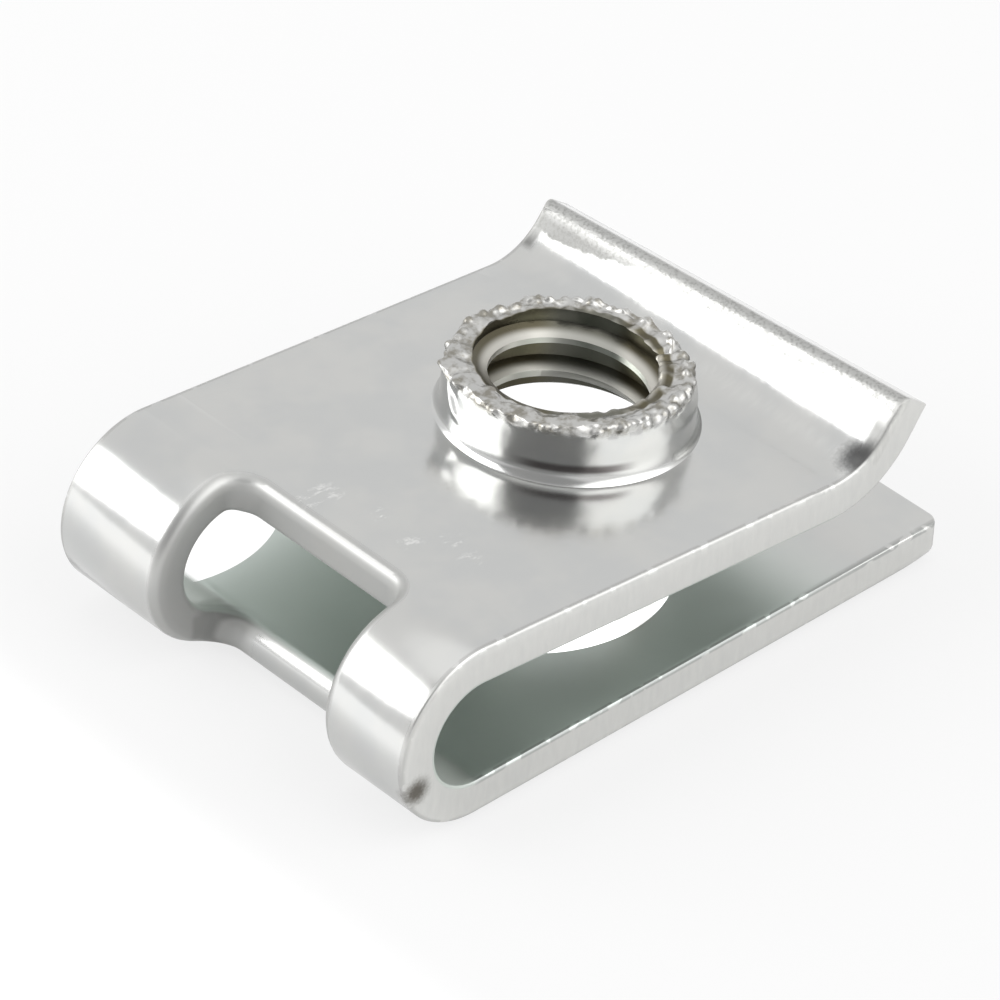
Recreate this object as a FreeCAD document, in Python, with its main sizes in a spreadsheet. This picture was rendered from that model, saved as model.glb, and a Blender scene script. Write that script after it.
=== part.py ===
import FreeCAD, Part
import Sketcher
import math
import os

# A U-shaped clip nut: one spring steel strip folded back on itself, with a
# tapped collar drawn up from the upper leaf and a lead-in lip at the open end.
# Millimetres, Z up. The origin is the centre of the screw hole, on the
# underside of the lower leaf. X runs along the clip to its open end and Y
# runs across it.

doc = FreeCAD.newDocument("ClipNut")

# Driving dimensions
SIZES = [
    ("width", 16.0, "strip width"),
    ("sheet_thickness", 1.3, "sheet thickness"),
    ("bend_radius", 3.15, "outside radius of the closed end"),
    ("hole_from_bend", 14.2, "closed end to the screw hole"),
    ("lower_reach", 9.3, "screw hole to the end of the lower leaf"),
    ("leaf_tilt", 4.4, "fall of the upper leaf to the open end, degrees"),
    ("upper_length", 14.9, "flat length of the upper leaf"),
    ("lip_angle", 59.5, "upward fold of the lip, degrees"),
    ("lip_radius", 2.45, "fold radius on the lip's upper side"),
    ("lip_near", 1.25, "straight length of the lip at -Y"),
    ("lip_far", 0.6, "straight length of the lip at +Y"),
    ("corner_radius", 0.35, "corners of the lower leaf"),
    ("edge_roll", 0.26, "rolled edge that blanking leaves outside"),
    ("window_width", 7.6, "width of the window through the bend"),
    ("window_offset", 0.45, "window centre off the strip's centre, to -Y"),
    ("window_upper", 3.5, "closed end to the window's upper end"),
    ("window_lower", 2.65, "closed end to the window's lower end"),
    ("window_corner", 0.9, "corner radius of the window"),
    ("screw_hole_radius", 4.0, "clearance hole in the lower leaf"),
    ("collar_radius", 4.15, "outside radius of the drawn collar"),
    ("collar_height", 2.0, "collar above the upper leaf"),
    ("rim_round", 0.8, "rounded outer rim of the collar"),
    ("foot_fillet", 0.35, "fillet where the collar leaves the leaf"),
    ("thread_bore", 2.6, "inside radius of the thread"),
    ("lead_in", 0.4, "lead-in at the rim"),
    ("draw_radius", 0.85, "drawn-in edge on the leaf's underside"),
]

sheet = doc.addObject("Spreadsheet::Sheet", "Sizes")
sheet.set("A1", "Name")
sheet.set("B1", "Value")
sheet.set("C1", "Meaning")
for row, (alias, value, meaning) in enumerate(SIZES, start=2):
    sheet.set(f"A{row}", alias)
    sheet.set(f"B{row}", str(value))
    sheet.set(f"C{row}", meaning)
    sheet.setAlias(f"B{row}", alias)
doc.recompute()

SIZE = {alias: value for alias, value, meaning in SIZES}
START, END, CENTRE = 1, 2, 3

# A cut through one leaf goes half a sheet past it, well short of the other.
THROUGH_ONE_LEAF = "Sizes.sheet_thickness * 1.5"
# Least volume in cubic millimetres that a real cut or pad changes
REAL_CHANGE = 1.0

body = doc.addObject("PartDesign::Body", "ClipNutBody")
body.Label = "clip_nut"


def plane(role):
    for feature in body.Origin.OriginFeatures:
        if feature.Role == role:
            return feature


def new_sketch(name, role):
    sketch = body.newObject("Sketcher::SketchObject", name)
    sketch.AttachmentSupport = [(plane(role), "")]
    sketch.MapMode = "FlatFace"
    return sketch


def vec(x, y):
    return FreeCAD.Vector(x, y, 0)


def line(sketch, start, end):
    return sketch.addGeometry(Part.LineSegment(vec(*start), vec(*end)), False)


def arc(sketch, centre, radius, start_deg, end_deg):
    circle = Part.Circle(vec(*centre), FreeCAD.Vector(0, 0, 1), radius)
    low = math.radians(start_deg)
    high = math.radians(end_deg)
    return sketch.addGeometry(Part.ArcOfCircle(circle, low, high), False)


def bind(sketch, constraint, formula):
    """Add a constraint with a value and tie that value to the sheet."""
    index = sketch.addConstraint(constraint)
    sketch.setExpression(f"Constraints[{index}]", formula)
    return index


def close_loop(sketch, edges):
    """Join each edge's end to the next one's start, all the way round."""
    for edge, following in zip(edges, edges[1:] + edges[:1]):
        sketch.addConstraint(Sketcher.Constraint("Coincident", edge, END, following, START))


def volume_after(feature, least_change, previous, sign):
    """Recompute, and make sure that the feature really added or cut."""
    doc.recompute()
    change = (feature.Shape.Volume - previous) * sign
    if change < least_change:
        raise RuntimeError(f"{feature.Name} changed the volume by {change}")
    return feature.Shape.Volume


# Side view of the whole strip: lower leaf, bend, upper leaf and lip
thick = SIZE["sheet_thickness"]
r_out = SIZE["bend_radius"]
r_in = r_out - thick
tilt = math.radians(SIZE["leaf_tilt"])
lean = math.radians(SIZE["lip_angle"]) - tilt
bend_c = (r_out - SIZE["hole_from_bend"], r_out)
along = (math.cos(tilt), -math.sin(tilt))
normal = (math.sin(tilt), math.cos(tilt))
lip_along = (math.cos(lean), math.sin(lean))
lip_normal = (-math.sin(lean), math.cos(lean))


def off(point, direction, length):
    return (point[0] + direction[0] * length, point[1] + direction[1] * length)


up_out = off(bend_c, normal, r_out)
up_in = off(bend_c, normal, r_in)
fold_out = off(up_out, along, SIZE["upper_length"])
fold_in = off(up_in, along, SIZE["upper_length"])
lip_c = off(fold_out, normal, SIZE["lip_radius"])
lip_out = off(lip_c, lip_normal, -SIZE["lip_radius"])
lip_in = off(lip_c, lip_normal, -SIZE["lip_radius"] - thick)
tip_out = off(lip_out, lip_along, SIZE["lip_near"])
tip_in = off(lip_in, lip_along, SIZE["lip_near"])
low_end = SIZE["lower_reach"]

section = new_sketch("StripSection", "XZ_Plane")
low_outer = line(section, (low_end, 0), (bend_c[0], 0))
bend_outer = arc(section, bend_c, r_out, 90 - SIZE["leaf_tilt"], 270)
up_outer = line(section, up_out, fold_out)
lip_arc_outer = arc(
    section, lip_c, SIZE["lip_radius"], 270 - SIZE["leaf_tilt"],
    270 - SIZE["leaf_tilt"] + SIZE["lip_angle"],
)
lip_outer = line(section, lip_out, tip_out)
tip = line(section, tip_out, tip_in)
lip_inner = line(section, tip_in, lip_in)
lip_arc_inner = arc(
    section, lip_c, SIZE["lip_radius"] + thick, 270 - SIZE["leaf_tilt"],
    270 - SIZE["leaf_tilt"] + SIZE["lip_angle"],
)
up_inner = line(section, fold_in, up_in)
bend_inner = arc(section, bend_c, r_in, 90 - SIZE["leaf_tilt"], 270)
low_inner = line(section, (bend_c[0], thick), (low_end, thick))
low_tip = line(section, (low_end, thick), (low_end, 0))

TANGENT_JOINS = [
    (low_outer, END, bend_outer, END),
    (bend_outer, START, up_outer, START),
    (up_outer, END, lip_arc_outer, START),
    (lip_arc_outer, END, lip_outer, START),
    (lip_inner, END, lip_arc_inner, END),
    (lip_arc_inner, START, up_inner, START),
    (up_inner, END, bend_inner, START),
    (bend_inner, END, low_inner, START),
]
for first, first_end, second, second_end in TANGENT_JOINS:
    section.addConstraint(
        Sketcher.Constraint("Tangent", first, first_end, second, second_end)
    )
CORNER_JOINS = [
    (lip_outer, END, tip, START),
    (tip, END, lip_inner, START),
    (low_inner, END, low_tip, START),
    (low_tip, END, low_outer, START),
    (bend_outer, CENTRE, bend_inner, CENTRE),
    (lip_arc_outer, CENTRE, lip_arc_inner, CENTRE),
]
for first, first_end, second, second_end in CORNER_JOINS:
    section.addConstraint(
        Sketcher.Constraint("Coincident", first, first_end, second, second_end)
    )
section.addConstraint(Sketcher.Constraint("PointOnObject", low_outer, START, -1))
section.addConstraint(Sketcher.Constraint("Horizontal", low_outer))
section.addConstraint(Sketcher.Constraint("Vertical", low_tip))
section.addConstraint(Sketcher.Constraint("Perpendicular", lip_outer, tip))
for inner, outer in [(low_inner, low_outer), (up_inner, up_outer), (lip_inner, lip_outer)]:
    section.addConstraint(Sketcher.Constraint("Parallel", inner, outer))
bind(section, Sketcher.Constraint("Radius", bend_outer, r_out), "Sizes.bend_radius")
bind(
    section, Sketcher.Constraint("Radius", bend_inner, r_in),
    "Sizes.bend_radius - Sizes.sheet_thickness",
)
bind(
    section, Sketcher.Constraint("DistanceX", bend_outer, CENTRE, -1, START, -bend_c[0]),
    "Sizes.hole_from_bend - Sizes.bend_radius",
)
bind(
    section, Sketcher.Constraint("DistanceX", -1, START, low_tip, END, low_end),
    "Sizes.lower_reach",
)
bind(section, Sketcher.Constraint("Angle", up_outer, -tilt), "-Sizes.leaf_tilt")
bind(
    section, Sketcher.Constraint("Distance", up_outer, SIZE["upper_length"]),
    "Sizes.upper_length",
)
bind(
    section, Sketcher.Constraint("Radius", lip_arc_outer, SIZE["lip_radius"]),
    "Sizes.lip_radius",
)
bind(
    section, Sketcher.Constraint("Angle", lip_outer, lean),
    "Sizes.lip_angle - Sizes.leaf_tilt",
)
bind(
    section, Sketcher.Constraint("Distance", lip_outer, SIZE["lip_near"]),
    "max(Sizes.lip_near; Sizes.lip_far)",
)

strip = body.newObject("PartDesign::Pad", "Strip")
strip.Profile = section
strip.Midplane = True
strip.setExpression("Length", "Sizes.width")
volume = volume_after(strip, REAL_CHANGE, 0.0, 1)

# The lip's end is cut out of square, shorter at +Y. The cut is made square to
# the lip, from a sketch that lies on the lip's upper face.
LIP_X = (
    "Sizes.bend_radius - Sizes.hole_from_bend"
    " + (Sizes.bend_radius + Sizes.lip_radius) * sin(Sizes.leaf_tilt)"
    " + Sizes.upper_length * cos(Sizes.leaf_tilt)"
    " + Sizes.lip_radius * sin(Sizes.lip_angle - Sizes.leaf_tilt)"
)
LIP_Z = (
    "Sizes.bend_radius + (Sizes.bend_radius + Sizes.lip_radius) * cos(Sizes.leaf_tilt)"
    " - Sizes.upper_length * sin(Sizes.leaf_tilt)"
    " - Sizes.lip_radius * cos(Sizes.lip_angle - Sizes.leaf_tilt)"
)
lip_cut = new_sketch("LipCut", "XY_Plane")
lip_cut.AttachmentOffset = FreeCAD.Placement(
    FreeCAD.Vector(lip_out[0], 0, lip_out[1]),
    FreeCAD.Rotation(FreeCAD.Vector(0, -1, 0), math.degrees(lean)),
)
lip_cut.setExpression("AttachmentOffset.Base.x", LIP_X)
lip_cut.setExpression("AttachmentOffset.Base.z", LIP_Z)
lip_cut.setExpression("AttachmentOffset.Rotation.Angle", "Sizes.lip_angle - Sizes.leaf_tilt")
lip_y = SIZE["width"] / 2
lip_far_end = max(SIZE["lip_near"], SIZE["lip_far"]) + thick
slant = line(lip_cut, (SIZE["lip_near"], -lip_y), (SIZE["lip_far"], lip_y))
far_side = line(lip_cut, (SIZE["lip_far"], lip_y), (lip_far_end, lip_y))
beyond = line(lip_cut, (lip_far_end, lip_y), (lip_far_end, -lip_y))
near_side = line(lip_cut, (lip_far_end, -lip_y), (SIZE["lip_near"], -lip_y))
close_loop(lip_cut, [slant, far_side, beyond, near_side])
lip_cut.addConstraint(Sketcher.Constraint("Horizontal", far_side))
lip_cut.addConstraint(Sketcher.Constraint("Horizontal", near_side))
lip_cut.addConstraint(Sketcher.Constraint("Vertical", beyond))
bind(
    lip_cut, Sketcher.Constraint("DistanceX", -1, START, slant, START, SIZE["lip_near"]),
    "Sizes.lip_near",
)
bind(
    lip_cut, Sketcher.Constraint("DistanceX", -1, START, slant, END, SIZE["lip_far"]),
    "Sizes.lip_far",
)
bind(
    lip_cut, Sketcher.Constraint("DistanceX", -1, START, beyond, START, lip_far_end),
    "max(Sizes.lip_near; Sizes.lip_far) + Sizes.sheet_thickness",
)
bind(
    lip_cut, Sketcher.Constraint("DistanceY", slant, START, -1, START, lip_y),
    "Sizes.width / 2",
)
bind(
    lip_cut, Sketcher.Constraint("DistanceY", -1, START, slant, END, lip_y),
    "Sizes.width / 2",
)
lip_trim = body.newObject("PartDesign::Pocket", "LipTrim")
lip_trim.Profile = lip_cut
lip_trim.setExpression("Length", THROUGH_ONE_LEAF)
volume = volume_after(lip_trim, 0.0, volume, -1)


# The window is pierced through the closed end. Its upper and lower halves have
# the same sides, and each ends in two rounded corners.
def window_half(name, reach, upward):
    sketch = new_sketch(name + "Outline", "XY_Plane")
    sketch.AttachmentOffset = FreeCAD.Placement(
        FreeCAD.Vector(0, 0, r_out), FreeCAD.Rotation()
    )
    sketch.setExpression("AttachmentOffset.Base.z", "Sizes.bend_radius")
    corner = SIZE["window_corner"]
    start = -SIZE["hole_from_bend"] - thick
    stop = SIZE[reach] - SIZE["hole_from_bend"]
    low = -SIZE["window_offset"] - SIZE["window_width"] / 2
    high = low + SIZE["window_width"]
    near = line(sketch, (start, low), (stop - corner, low))
    near_arc = arc(sketch, (stop - corner, low + corner), corner, 270, 360)
    end = line(sketch, (stop, low + corner), (stop, high - corner))
    far_arc = arc(sketch, (stop - corner, high - corner), corner, 0, 90)
    far = line(sketch, (stop - corner, high), (start, high))
    outside = line(sketch, (start, high), (start, low))
    joins = [
        ("Tangent", near, END, near_arc, START),
        ("Tangent", near_arc, END, end, START),
        ("Tangent", end, END, far_arc, START),
        ("Tangent", far_arc, END, far, START),
        ("Coincident", far, END, outside, START),
        ("Coincident", outside, END, near, START),
    ]
    for join in joins:
        sketch.addConstraint(Sketcher.Constraint(*join))
    sketch.addConstraint(Sketcher.Constraint("Horizontal", near))
    sketch.addConstraint(Sketcher.Constraint("Horizontal", far))
    sketch.addConstraint(Sketcher.Constraint("Vertical", end))
    sketch.addConstraint(Sketcher.Constraint("Vertical", outside))
    sketch.addConstraint(Sketcher.Constraint("Equal", near_arc, far_arc))
    bind(sketch, Sketcher.Constraint("Radius", near_arc, corner), "Sizes.window_corner")
    bind(
        sketch, Sketcher.Constraint("DistanceX", outside, END, -1, START, -start),
        "Sizes.hole_from_bend + Sizes.sheet_thickness",
    )
    bind(
        sketch, Sketcher.Constraint("DistanceX", end, END, -1, START, -stop),
        f"Sizes.hole_from_bend - Sizes.{reach}",
    )
    bind(
        sketch, Sketcher.Constraint("DistanceY", outside, END, -1, START, -low),
        "Sizes.window_width / 2 + Sizes.window_offset",
    )
    bind(
        sketch, Sketcher.Constraint("DistanceY", outside, END, outside, START, high - low),
        "Sizes.window_width",
    )
    pocket = body.newObject("PartDesign::Pocket", name)
    pocket.Profile = sketch
    pocket.Type = "ThroughAll"
    pocket.Reversed = upward
    return pocket


window_upper = window_half("WindowUpper", "window_upper", True)
volume = volume_after(window_upper, REAL_CHANGE, volume, -1)
window_lower = window_half("WindowLower", "window_lower", False)
volume = volume_after(window_lower, REAL_CHANGE, volume, -1)

# Clearance hole for the screw in the lower leaf
screw_sketch = new_sketch("ScrewHoleOutline", "XY_Plane")
hole_circle = screw_sketch.addGeometry(
    Part.Circle(vec(0, 0), FreeCAD.Vector(0, 0, 1), SIZE["screw_hole_radius"]), False
)
screw_sketch.addConstraint(Sketcher.Constraint("Coincident", hole_circle, CENTRE, -1, START))
bind(
    screw_sketch, Sketcher.Constraint("Radius", hole_circle, SIZE["screw_hole_radius"]),
    "Sizes.screw_hole_radius",
)
screw_hole = body.newObject("PartDesign::Pocket", "ScrewHole")
screw_hole.Profile = screw_sketch
screw_hole.Reversed = True
screw_hole.setExpression("Length", THROUGH_ONE_LEAF)
volume = volume_after(screw_hole, REAL_CHANGE, volume, -1)

# The collar stands square to the upper leaf, over the screw hole. Its sketches
# have their origin on the leaf's top face and their Y along the screw's axis.
LEAF_TOP = (
    "Sizes.bend_radius + Sizes.bend_radius / cos(Sizes.leaf_tilt)"
    " - (Sizes.hole_from_bend - Sizes.bend_radius) * tan(Sizes.leaf_tilt)"
)
leaf_top = r_out + r_out / math.cos(tilt) + bend_c[0] * math.tan(tilt)


def axis_sketch(name):
    sketch = new_sketch(name, "XZ_Plane")
    sketch.AttachmentOffset = FreeCAD.Placement(
        FreeCAD.Vector(0, leaf_top, 0),
        FreeCAD.Rotation(FreeCAD.Vector(0, 0, -1), SIZE["leaf_tilt"]),
    )
    sketch.setExpression("AttachmentOffset.Base.y", LEAF_TOP)
    sketch.setExpression("AttachmentOffset.Rotation.Angle", "Sizes.leaf_tilt")
    return sketch


collar_r = SIZE["collar_radius"]
collar_h = SIZE["collar_height"]
rim = SIZE["rim_round"]
foot = SIZE["foot_fillet"]
rooted = thick / 2
collar_sketch = axis_sketch("CollarSection")
on_axis = line(collar_sketch, (0, -rooted), (0, collar_h))
rim_top = line(collar_sketch, (0, collar_h), (collar_r - rim, collar_h))
rim_arc = arc(collar_sketch, (collar_r - rim, collar_h - rim), rim, 0, 90)
wall = line(collar_sketch, (collar_r, collar_h - rim), (collar_r, foot))
foot_arc = arc(collar_sketch, (collar_r + foot, foot), foot, 180, 270)
root_side = line(collar_sketch, (collar_r + foot, 0), (collar_r + foot, -rooted))
root_base = line(collar_sketch, (collar_r + foot, -rooted), (0, -rooted))
for join in [
    ("Coincident", on_axis, END, rim_top, START),
    ("Tangent", rim_top, END, rim_arc, END),
    ("Tangent", rim_arc, START, wall, START),
    ("Tangent", wall, END, foot_arc, START),
    ("Coincident", foot_arc, END, root_side, START),
    ("Coincident", root_side, END, root_base, START),
    ("Coincident", root_base, END, on_axis, START),
]:
    collar_sketch.addConstraint(Sketcher.Constraint(*join))
for edge in (on_axis, wall, root_side):
    collar_sketch.addConstraint(Sketcher.Constraint("Vertical", edge))
for edge in (rim_top, root_base):
    collar_sketch.addConstraint(Sketcher.Constraint("Horizontal", edge))
collar_sketch.addConstraint(Sketcher.Constraint("PointOnObject", on_axis, START, -2))
collar_sketch.addConstraint(Sketcher.Constraint("PointOnObject", foot_arc, END, -1))
collar_sketch.addConstraint(Sketcher.Constraint("Vertical", foot_arc, CENTRE, foot_arc, END))
bind(collar_sketch, Sketcher.Constraint("Radius", rim_arc, rim), "Sizes.rim_round")
bind(collar_sketch, Sketcher.Constraint("Radius", foot_arc, foot), "Sizes.foot_fillet")
bind(
    collar_sketch, Sketcher.Constraint("DistanceX", -1, START, wall, START, collar_r),
    "Sizes.collar_radius",
)
bind(
    collar_sketch, Sketcher.Constraint("DistanceY", -1, START, on_axis, END, collar_h),
    "Sizes.collar_height",
)
bind(
    collar_sketch, Sketcher.Constraint("DistanceY", on_axis, START, -1, START, rooted),
    "Sizes.sheet_thickness / 2",
)
collar = body.newObject("PartDesign::Revolution", "Collar")
collar.Profile = collar_sketch
collar.ReferenceAxis = (collar_sketch, ["V_Axis"])
collar.Angle = 360
volume = volume_after(collar, REAL_CHANGE, volume, 1)

# Bore of the collar at the thread's inside radius, with a lead-in at the rim
# and the drawn-in edge on the leaf's underside
bore_r = SIZE["thread_bore"]
lead = SIZE["lead_in"]
draw = SIZE["draw_radius"]
past = thick / 2
bore_sketch = axis_sketch("BoreSection")
low_z = -thick - past
high_z = collar_h + past
core = line(bore_sketch, (0, low_z), (0, high_z))
cap = line(bore_sketch, (0, high_z), (bore_r + lead + past, high_z))
chamfer = line(bore_sketch, (bore_r + lead + past, high_z), (bore_r, collar_h - lead))
bore_wall = line(bore_sketch, (bore_r, collar_h - lead), (bore_r, draw - thick))
draw_arc = arc(bore_sketch, (bore_r + draw, draw - thick), draw, 180, 270)
mouth = line(bore_sketch, (bore_r + draw, -thick), (bore_r + draw, low_z))
floor = line(bore_sketch, (bore_r + draw, low_z), (0, low_z))
for join in [
    ("Coincident", core, END, cap, START),
    ("Coincident", cap, END, chamfer, START),
    ("Coincident", chamfer, END, bore_wall, START),
    ("Tangent", bore_wall, END, draw_arc, START),
    ("Coincident", draw_arc, END, mouth, START),
    ("Coincident", mouth, END, floor, START),
    ("Coincident", floor, END, core, START),
]:
    bore_sketch.addConstraint(Sketcher.Constraint(*join))
for edge in (core, bore_wall, mouth):
    bore_sketch.addConstraint(Sketcher.Constraint("Vertical", edge))
for edge in (cap, floor):
    bore_sketch.addConstraint(Sketcher.Constraint("Horizontal", edge))
bore_sketch.addConstraint(Sketcher.Constraint("PointOnObject", core, START, -2))
bore_sketch.addConstraint(Sketcher.Constraint("Vertical", draw_arc, CENTRE, draw_arc, END))
bind(
    bore_sketch, Sketcher.Constraint("Angle", chamfer, math.radians(-135)),
    "-135",
)
bind(bore_sketch, Sketcher.Constraint("Radius", draw_arc, draw), "Sizes.draw_radius")
bind(
    bore_sketch, Sketcher.Constraint("DistanceX", -1, START, bore_wall, START, bore_r),
    "Sizes.thread_bore",
)
bind(
    bore_sketch, Sketcher.Constraint("DistanceY", -1, START, bore_wall, START, collar_h - lead),
    "Sizes.collar_height - Sizes.lead_in",
)
bind(
    bore_sketch, Sketcher.Constraint("DistanceY", -1, START, core, END, high_z),
    "Sizes.collar_height + Sizes.sheet_thickness / 2",
)
bind(
    bore_sketch, Sketcher.Constraint("DistanceY", draw_arc, END, -1, START, thick),
    "Sizes.sheet_thickness",
)
bind(
    bore_sketch, Sketcher.Constraint("DistanceY", core, START, -1, START, -low_z),
    THROUGH_ONE_LEAF,
)
bore = body.newObject("PartDesign::Groove", "Bore")
bore.Profile = bore_sketch
bore.ReferenceAxis = (bore_sketch, ["V_Axis"])
bore.Angle = 360
volume = volume_after(bore, REAL_CHANGE, volume, -1)

# Rounded corners at the end of the lower leaf
TOUCH = 0.001
half_width = SIZE["width"] / 2


def samples(edge):
    span = edge.LastParameter - edge.FirstParameter
    return [edge.valueAt(edge.FirstParameter + span * k / 4) for k in range(5)]


def picked(feature, test):
    names = []
    for index, edge in enumerate(feature.Shape.Edges, start=1):
        if all(test(point) for point in samples(edge)):
            names.append(f"Edge{index}")
    return names


def on_lower_corner(point):
    at_end = abs(point.x - SIZE["lower_reach"]) < TOUCH
    return at_end and abs(abs(point.y) - half_width) < TOUCH


corners = body.newObject("PartDesign::Fillet", "LeafCorners")
corners.Base = (bore, picked(bore, on_lower_corner))
corners.setExpression("Radius", "Sizes.corner_radius")
volume = volume_after(corners, 0.0, volume, -1)


# The rolled edge runs round the outside of the strip, along both long sides
# and round the end of the lower leaf.
def on_outer_skin(point):
    flat = (point.x, point.z)
    from_bend = math.dist(flat, bend_c)
    from_fold = math.dist(flat, lip_c)
    up = (point.x - up_out[0]) * normal[0] + (point.z - up_out[1]) * normal[1]
    lip = (point.x - lip_out[0]) * lip_normal[0] + (point.z - lip_out[1]) * lip_normal[1]
    if point.x > bend_c[0] - TOUCH and abs(point.z) < TOUCH:
        return True
    if point.x < up_out[0] + TOUCH and abs(from_bend - r_out) < TOUCH:
        return True
    if up_out[0] - TOUCH < point.x < fold_out[0] + TOUCH and abs(up) < TOUCH:
        return True
    if fold_out[0] - TOUCH < point.x < lip_out[0] + TOUCH:
        return abs(from_fold - SIZE["lip_radius"]) < TOUCH
    return point.x > lip_out[0] - TOUCH and abs(lip) < TOUCH


def on_outer_rim(point):
    if not on_outer_skin(point):
        return False
    if abs(abs(point.y) - half_width) < TOUCH:
        return True
    near_end = point.x > SIZE["lower_reach"] - SIZE["corner_radius"] - TOUCH
    return near_end and abs(point.z) < TOUCH


roll = body.newObject("PartDesign::Fillet", "RolledEdge")
roll.Base = (corners, picked(corners, on_outer_rim))
roll.setExpression("Radius", "Sizes.edge_roll")
volume = volume_after(roll, 0.0, volume, -1)
body.Tip = roll
doc.recompute()

for item in doc.Objects:
    if "Invalid" in item.State or "Error" in item.State:
        raise RuntimeError(f"{item.Name}: {item.State}")
for sketch in doc.findObjects("Sketcher::SketchObject"):
    if sketch.DoF:
        raise RuntimeError(f"{sketch.Name} has {sketch.DoF} free directions")
if body.Shape.isNull() or not body.Shape.isValid() or len(body.Shape.Solids) != 1:
    raise RuntimeError(f"{body.Label} is not one sound solid")

os.makedirs("parts", exist_ok=True)
body.Shape.exportStep(os.path.join("parts", body.Label + ".step"))
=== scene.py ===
import math

import bmesh
import bpy
from mathutils import Matrix, Vector, noise
from mathutils.geometry import interpolate_bezier


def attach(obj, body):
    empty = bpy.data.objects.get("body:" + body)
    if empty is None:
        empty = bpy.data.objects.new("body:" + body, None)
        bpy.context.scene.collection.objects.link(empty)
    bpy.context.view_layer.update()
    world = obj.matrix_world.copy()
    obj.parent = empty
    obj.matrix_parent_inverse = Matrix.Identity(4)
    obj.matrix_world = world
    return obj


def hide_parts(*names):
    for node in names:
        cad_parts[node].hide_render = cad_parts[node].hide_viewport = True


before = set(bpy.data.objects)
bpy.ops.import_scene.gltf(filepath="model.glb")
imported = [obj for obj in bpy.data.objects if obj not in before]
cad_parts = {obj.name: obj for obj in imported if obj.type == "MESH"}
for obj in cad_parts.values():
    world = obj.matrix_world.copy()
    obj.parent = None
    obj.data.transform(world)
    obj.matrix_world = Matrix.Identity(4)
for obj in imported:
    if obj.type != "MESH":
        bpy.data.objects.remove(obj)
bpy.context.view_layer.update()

# Camera
# A long lens looks down on the closed end from the near left, a little rolled
# to the left. Its place and lens were fitted to the clip's edges in the photo.
bpy.ops.object.camera_add(
    location=(-0.11008, -0.10834, 0.11684),
    rotation=(math.radians(53.3005), math.radians(-2.2373), math.radians(-43.0601)),
)
camera = bpy.context.active_object
camera.name = "camera"
camera.data.lens = 216.85
camera.data.sensor_width = 36.0
camera.data.clip_start = 0.01
camera.data.clip_end = 10.0
bpy.context.scene.camera = camera

# Blank
# The clip starts as a flat strip of 1.3 mm spring steel. It lies where the
# lower leaf will be, outer skin down, and runs on past the closed end. It is
# modelled in millimetres.
WIDTH = 16.0
SHEET = 1.3
BEND_RADIUS = 3.15
HOLE_FROM_BEND = 14.2
LOWER_REACH = 9.3
LEAF_TILT = math.radians(4.4)
UPPER_LENGTH = 14.9
LIP_ANGLE = math.radians(59.5)
LIP_RADIUS = 2.45
LIP_NEAR = 1.25
LIP_FAR = 0.6
LEAF_CORNER = 0.5

bend_from = BEND_RADIUS - HOLE_FROM_BEND
bend_to = bend_from - BEND_RADIUS * (math.pi + LEAF_TILT)
fold_from = bend_to - UPPER_LENGTH
fold_to = fold_from - LIP_RADIUS * LIP_ANGLE
tip = fold_to - LIP_NEAR


def pick(mode, test):
    """In edit mode, select just the elements of that kind that pass the test."""
    bpy.ops.mesh.select_mode(type=mode)
    bpy.ops.mesh.select_all(action="DESELECT")
    shape = bmesh.from_edit_mesh(bpy.context.edit_object.data)
    kinds = {"VERT": shape.verts, "EDGE": shape.edges, "FACE": shape.faces}
    for element in kinds[mode]:
        if test(element):
            element.select_set(True)
    shape.select_flush_mode()
    bmesh.update_edit_mesh(bpy.context.edit_object.data)


def block(name, low, high):
    """A box between two corners."""
    bpy.ops.object.select_all(action="DESELECT")
    bpy.ops.mesh.primitive_cube_add(size=1)
    box = bpy.context.active_object
    box.name = name
    box.location = [(a + b) / 2 for a, b in zip(low, high)]
    box.scale = [b - a for a, b in zip(low, high)]
    bpy.ops.object.transform_apply(location=True, rotation=True, scale=True)
    return box


def upright_at(edge, place):
    """An edge that stands square to the sheet at that X."""
    low, high = (vertex.co for vertex in edge.verts)
    return abs(low.z - high.z) > SHEET / 2 and abs(low.x - place) < 0.01


strip = block("clip_strip", (tip, -WIDTH / 2, 0), (LOWER_REACH, WIDTH / 2, SHEET))
bpy.ops.object.mode_set(mode="EDIT")
pick("EDGE", lambda edge: upright_at(edge, LOWER_REACH))
bpy.ops.mesh.bevel(offset=LEAF_CORNER, segments=8, affect="EDGES")
# The lip's end is sheared out of square, shorter at the far side.
bpy.ops.mesh.select_all(action="SELECT")
bpy.ops.mesh.bisect(
    plane_co=(tip, -WIDTH / 2, 0),
    plane_no=Vector((-WIDTH, LIP_NEAR - LIP_FAR, 0)).normalized(),
    use_fill=True, clear_outer=True,
)
bpy.ops.object.mode_set(mode="OBJECT")

# Window and screw hole
# A rounded slot is pierced in the blank where it will bend, so it leaves a leg
# each side and a narrow strap below. The screw's clearance hole is punched in
# the lower leaf.
WINDOW_WIDTH = 7.6
WINDOW_OFFSET = 0.45
WINDOW_LOW = bend_from - 0.5
WINDOW_HIGH = bend_to - 0.11
WINDOW_CORNER = 0.9
SCREW_HOLE_RADIUS = 4.0


def cut_away(target, cutter):
    """Cut the cutter's shape out of the target, and delete the cutter."""
    bpy.ops.object.select_all(action="DESELECT")
    bpy.context.view_layer.objects.active = target
    target.select_set(True)
    cut = target.modifiers.new("cut", "BOOLEAN")
    cut.operation = "DIFFERENCE"
    cut.solver = "EXACT"
    cut.object = cutter
    bpy.ops.object.modifier_apply(modifier="cut")
    bpy.data.objects.remove(cutter, do_unlink=True)


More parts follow.
